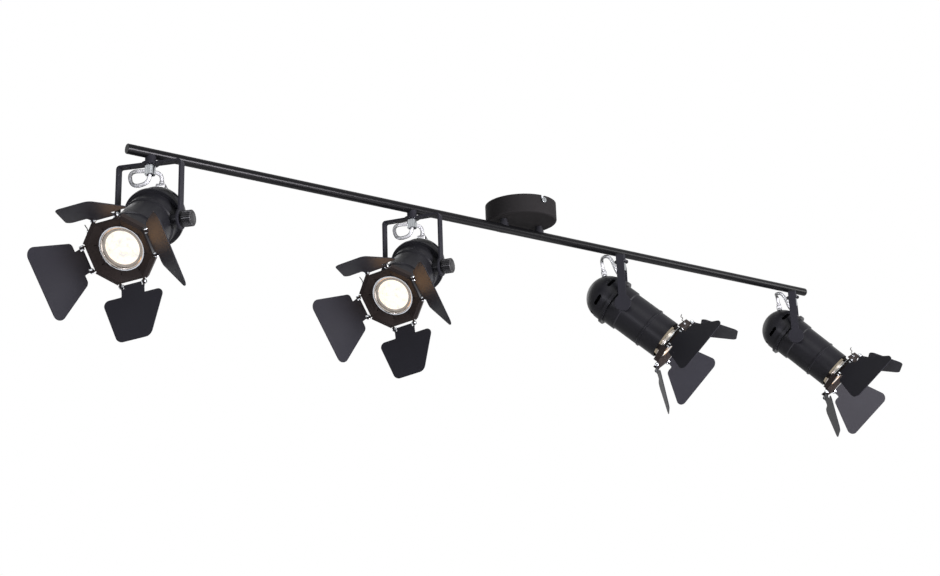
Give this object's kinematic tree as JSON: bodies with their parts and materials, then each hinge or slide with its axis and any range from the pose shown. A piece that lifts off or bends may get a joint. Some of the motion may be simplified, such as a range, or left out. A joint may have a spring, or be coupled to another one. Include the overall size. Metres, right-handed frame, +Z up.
{
  "type": "track lighting fixture",
  "caption": "Ceiling bar spotlight with a round canopy and theatre-style heads on swivelling yokes, each with hinged barn-door leaves.",
  "frame": {"origin": "centre of the ceiling bracket, on the ceiling plane", "axes": "+X along the bar, +Z up into the ceiling, -Y towards the side that the heads turn to"},
  "size_m": [1.3624, 0.2036, 0.2745],
  "materials": {
    "black_coat": "satin black powder coat",
    "zinc_steel": "zinc plated",
    "post_steel": "satin dark coat",
    "chrome": "bright chrome plate",
    "terminal_plastic": "matte",
    "lamp_glass": "frosted front glass, lit warm white",
    "ceramic": "unglazed",
    "clear_pvc": "clear flexible PVC",
    "knob_plastic": "satin moulded"
  },
  "bodies": {
    "ceiling_bar": {"canopy_cup": "black_coat", "ceiling_bracket": "zinc_steel", "canopy_side_screws": "chrome", "terminal_block": "terminal_plastic", "standoff_posts": "post_steel", "bar_tube": "black_coat", "swivel_sleeves": "black_coat", "swivel_nuts": "chrome"},
    "yoke_1": {"yoke_1": "black_coat"},
    "head_1": {"lamp_housing_1": "black_coat", "rear_dome_1": "black_coat", "lamp_1": "lamp_glass", "lampholder_1": "ceramic", "lamp_cable_1": "clear_pvc"},
    "knob_1": {"tilt_knob_1": "knob_plastic"},
    "frame_1": {"front_frame_1": "black_coat", "hinge_screws_1": "chrome"},
    "leaf_left_1": {"leaf_left_1": "black_coat"},
    "leaf_right_1": {"leaf_right_1": "black_coat"},
    "leaf_top_1": {"leaf_top_1": "black_coat"},
    "leaf_bottom_1": {"leaf_bottom_1": "black_coat"},
    "yoke_2": {"yoke_2": "black_coat"},
    "head_2": {"lamp_housing_2": "black_coat", "rear_dome_2": "black_coat", "lamp_2": "lamp_glass", "lampholder_2": "ceramic", "lamp_cable_2": "clear_pvc"},
    "knob_2": {"tilt_knob_2": "knob_plastic"},
    "frame_2": {"front_frame_2": "black_coat", "hinge_screws_2": "chrome"},
    "leaf_left_2": {"leaf_left_2": "black_coat"},
    "leaf_right_2": {"leaf_right_2": "black_coat"},
    "leaf_top_2": {"leaf_top_2": "black_coat"},
    "leaf_bottom_2": {"leaf_bottom_2": "black_coat"},
    "yoke_3": {"yoke_3": "black_coat"},
    "head_3": {"lamp_housing_3": "black_coat", "rear_dome_3": "black_coat", "lamp_3": "lamp_glass", "lampholder_3": "ceramic", "lamp_cable_3": "clear_pvc"},
    "knob_3": {"tilt_knob_3": "knob_plastic"},
    "frame_3": {"front_frame_3": "black_coat", "hinge_screws_3": "chrome"},
    "leaf_left_3": {"leaf_left_3": "black_coat"},
    "leaf_right_3": {"leaf_right_3": "black_coat"},
    "leaf_top_3": {"leaf_top_3": "black_coat"},
    "leaf_bottom_3": {"leaf_bottom_3": "black_coat"},
    "yoke_4": {"yoke_4": "black_coat"},
    "head_4": {"lamp_housing_4": "black_coat", "rear_dome_4": "black_coat", "lamp_4": "lamp_glass", "lampholder_4": "ceramic", "lamp_cable_4": "clear_pvc"},
    "knob_4": {"tilt_knob_4": "knob_plastic"},
    "frame_4": {"front_frame_4": "black_coat", "hinge_screws_4": "chrome"},
    "leaf_left_4": {"leaf_left_4": "black_coat"},
    "leaf_right_4": {"leaf_right_4": "black_coat"},
    "leaf_top_4": {"leaf_top_4": "black_coat"},
    "leaf_bottom_4": {"leaf_bottom_4": "black_coat"}
  },
  "joints": [
    {"name": "swivel_1", "type": "hinge", "parent": "ceiling_bar", "child": "yoke_1", "pos_m": [-0.54, 0, -0.038], "axis": [0, 0, 1], "range_deg": [-170, 170]},
    {"name": "tilt_1", "type": "hinge", "parent": "yoke_1", "child": "head_1", "pos_m": [-0.54, 0, -0.1215], "axis": [0.6361, -0.7716, 0], "range_deg": [-33.3, 15.7], "deforming": ["lamp_cable_1"]},
    {"name": "knob_turn_1", "type": "hinge", "parent": "head_1", "child": "knob_1", "pos_m": [-0.54, 0, -0.1215], "axis": [0.6361, -0.7716, 0], "continuous": true},
    {"name": "frame_turn_1", "type": "hinge", "parent": "head_1", "child": "frame_1", "pos_m": [-0.5928, -0.04353, -0.17555], "axis": [-0.6056, -0.4992, -0.6198], "range_deg": [-53, 37]},
    {"name": "leaf_left_hinge_1", "type": "hinge", "parent": "frame_1", "child": "leaf_left_1", "pos_m": [-0.57072, -0.07563, -0.17126], "axis": [-0.5621, -0.283, 0.7771], "range_deg": [-51.5, 48.5]},
    {"name": "leaf_right_hinge_1", "type": "hinge", "parent": "frame_1", "child": "leaf_right_1", "pos_m": [-0.61489, -0.01142, -0.17983], "axis": [0.5621, 0.283, -0.7771], "range_deg": [-31.5, 68.5]},
    {"name": "leaf_top_hinge_1", "type": "hinge", "parent": "frame_1", "child": "leaf_top_1", "pos_m": [-0.61484, -0.05462, -0.14508], "axis": [-0.5633, 0.819, -0.1092], "range_deg": [-59.5, 58.5]},
    {"name": "leaf_bottom_hinge_1", "type": "hinge", "parent": "frame_1", "child": "leaf_bottom_1", "pos_m": [-0.57077, -0.03243, -0.20601], "axis": [0.5633, -0.819, 0.1092], "range_deg": [-75, 43]},
    {"name": "swivel_2", "type": "hinge", "parent": "ceiling_bar", "child": "yoke_2", "pos_m": [-0.18, 0, -0.038], "axis": [0, 0, 1], "range_deg": [-170, 170]},
    {"name": "tilt_2", "type": "hinge", "parent": "yoke_2", "child": "head_2", "pos_m": [-0.18, 0, -0.1215], "axis": [0.518, -0.8554, 0], "range_deg": [-32.2, 16.8], "deforming": ["lamp_cable_2"]},
    {"name": "knob_turn_2", "type": "hinge", "parent": "head_2", "child": "knob_2", "pos_m": [-0.18, 0, -0.1215], "axis": [0.518, -0.8554, 0], "continuous": true},
    {"name": "frame_turn_2", "type": "hinge", "parent": "head_2", "child": "frame_2", "pos_m": [-0.23941, -0.03598, -0.17422], "axis": [-0.6813, -0.4126, -0.6046], "range_deg": [-55, 35]},
    {"name": "leaf_left_hinge_2", "type": "hinge", "parent": "frame_2", "child": "leaf_left_2", "pos_m": [-0.22293, -0.07113, -0.1688], "axis": [-0.5993, -0.1599, 0.7844], "range_deg": [-51, 49]},
    {"name": "leaf_right_hinge_2", "type": "hinge", "parent": "frame_2", "child": "leaf_right_2", "pos_m": [-0.25589, -0.00083, -0.17964], "axis": [0.5993, 0.1599, -0.7844], "range_deg": [-33.5, 66.5]},
    {"name": "leaf_top_hinge_2", "type": "hinge", "parent": "frame_2", "child": "leaf_top_2", "pos_m": [-0.2629, -0.04225, -0.14347], "axis": [-0.4204, 0.8968, -0.1383], "range_deg": [-59.5, 58.5]},
    {"name": "leaf_bottom_hinge_2", "type": "hinge", "parent": "frame_2", "child": "leaf_bottom_2", "pos_m": [-0.21592, -0.02971, -0.20497], "axis": [0.4204, -0.8968, 0.1383], "range_deg": [-76.5, 41.5]},
    {"name": "swivel_3", "type": "hinge", "parent": "ceiling_bar", "child": "yoke_3", "pos_m": [0.18, 0, -0.038], "axis": [0, 0, 1], "range_deg": [-170, 170]},
    {"name": "tilt_3", "type": "hinge", "parent": "yoke_3", "child": "head_3", "pos_m": [0.18, 0, -0.1215], "axis": [0.7193, 0.6947, 0], "range_deg": [-36.5, 12.5], "deforming": ["lamp_cable_3"]},
    {"name": "knob_turn_3", "type": "hinge", "parent": "head_3", "child": "knob_3", "pos_m": [0.18, 0, -0.1215], "axis": [0.7193, 0.6947, 0], "continuous": true},
    {"name": "frame_turn_3", "type": "hinge", "parent": "head_3", "child": "frame_3", "pos_m": [0.22537, -0.04698, -0.17928], "axis": [0.5203, -0.5388, -0.6626], "range_deg": [-39.8, 50.2]},
    {"name": "leaf_left_hinge_3", "type": "hinge", "parent": "frame_3", "child": "leaf_left_3", "pos_m": [0.25181, -0.01817, -0.18194], "axis": [0.5236, -0.4117, 0.7459], "range_deg": [-56.5, 43.5]},
    {"name": "leaf_right_hinge_3", "type": "hinge", "parent": "frame_3", "child": "leaf_right_3", "pos_m": [0.19892, -0.07579, -0.17662], "axis": [-0.5236, 0.4117, -0.7459], "range_deg": [-59, 41]},
    {"name": "leaf_top_hinge_3", "type": "hinge", "parent": "frame_3", "child": "leaf_top_3", "pos_m": [0.24589, -0.06312, -0.15004], "axis": [-0.6747, -0.735, 0.0679], "range_deg": [-53, 65]},
    {"name": "leaf_bottom_hinge_3", "type": "hinge", "parent": "frame_3", "child": "leaf_bottom_3", "pos_m": [0.20484, -0.03084, -0.20852], "axis": [0.6747, 0.735, -0.0679], "range_deg": [-65.5, 52.5]},
    {"name": "swivel_4", "type": "hinge", "parent": "ceiling_bar", "child": "yoke_4", "pos_m": [0.54, 0, -0.038], "axis": [0, 0, 1], "range_deg": [-170, 170]},
    {"name": "tilt_4", "type": "hinge", "parent": "yoke_4", "child": "head_4", "pos_m": [0.54, 0, -0.1215], "axis": [0.7826, 0.6225, 0], "range_deg": [-40, 9], "deforming": ["lamp_cable_4"]},
    {"name": "knob_turn_4", "type": "hinge", "parent": "head_4", "child": "knob_4", "pos_m": [0.54, 0, -0.1215], "axis": [0.7826, 0.6225, 0], "continuous": true},
    {"name": "frame_turn_4", "type": "hinge", "parent": "head_4", "child": "frame_4", "pos_m": [0.57838, -0.04825, -0.18316], "axis": [0.4402, -0.5534, -0.7071], "range_deg": [-34.5, 55.5]},
    {"name": "leaf_left_hinge_4", "type": "hinge", "parent": "frame_4", "child": "leaf_left_4", "pos_m": [0.6054, -0.02031, -0.18821], "axis": [0.5754, -0.4307, 0.6953], "range_deg": [-35, 65]},
    {"name": "leaf_right_hinge_4", "type": "hinge", "parent": "frame_4", "child": "leaf_right_4", "pos_m": [0.55136, -0.0762, -0.17811], "axis": [-0.5754, 0.4307, -0.6953], "range_deg": [-54, 46]},
    {"name": "leaf_top_hinge_4", "type": "hinge", "parent": "frame_4", "child": "leaf_top_4", "pos_m": [0.60094, -0.06514, -0.1559], "axis": [-0.6893, -0.7129, 0.1289], "range_deg": [-56, 62]},
    {"name": "leaf_bottom_hinge_4", "type": "hinge", "parent": "frame_4", "child": "leaf_bottom_4", "pos_m": [0.55583, -0.03137, -0.21041], "axis": [0.6893, 0.7129, -0.1289], "range_deg": [-61, 57]}
  ]
}
